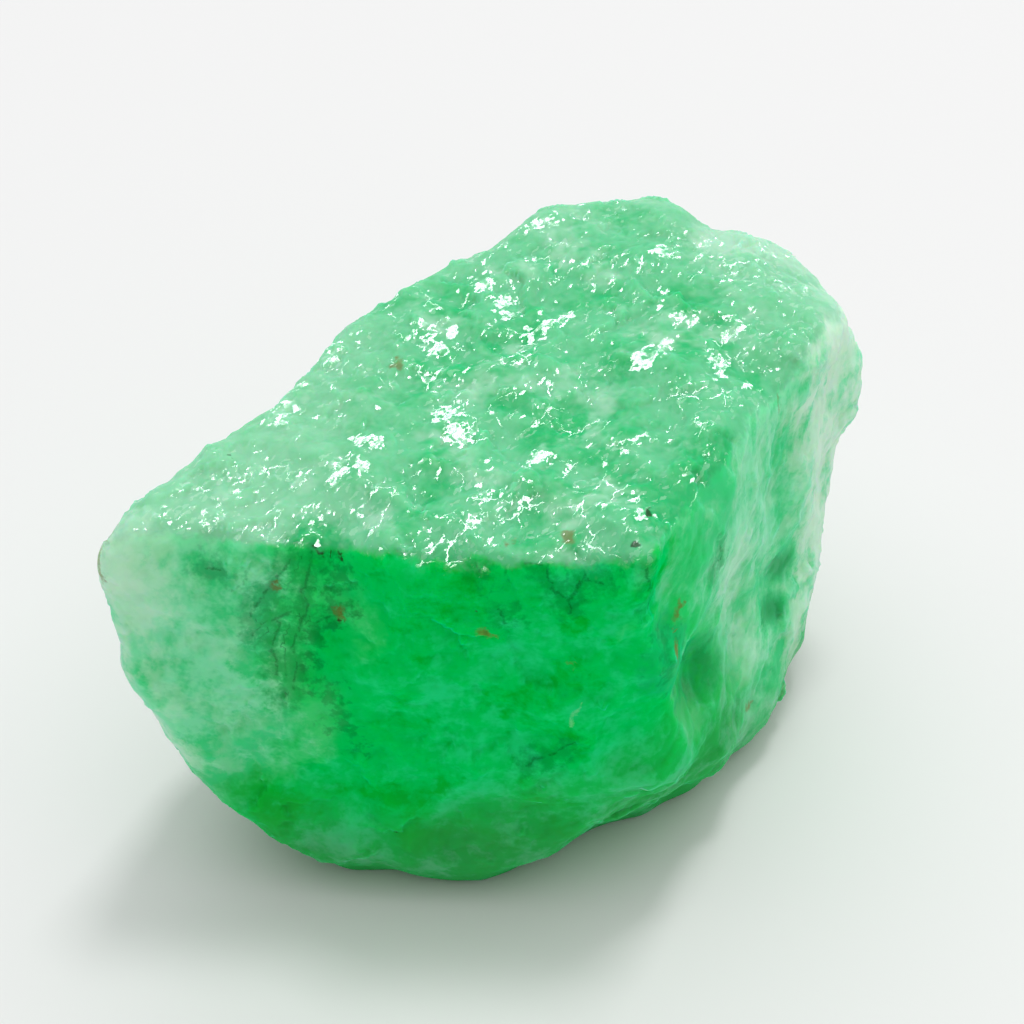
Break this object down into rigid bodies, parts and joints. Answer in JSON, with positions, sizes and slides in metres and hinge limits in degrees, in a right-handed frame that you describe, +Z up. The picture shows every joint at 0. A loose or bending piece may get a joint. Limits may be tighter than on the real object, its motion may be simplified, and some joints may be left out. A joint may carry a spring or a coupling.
{
  "type": "raw fluorite",
  "caption": "Raw lump of green fluorite: a long broken block with a near-level glittering crown and paler ends, resting on its own small flat foot",
  "frame": {"origin": "middle of the stone's box in plan, at the level of the foot it rests on", "axes": "+X along the stone, towards its thick knobbed end; +Y towards its back; +Z up through the crown"},
  "size_m": [0.0352, 0.0236, 0.0208],
  "materials": {
    "green_fluorite": "gloss"
  },
  "bodies": {
    "root": {"fluorite": "green_fluorite"}
  },
  "joints": []
}
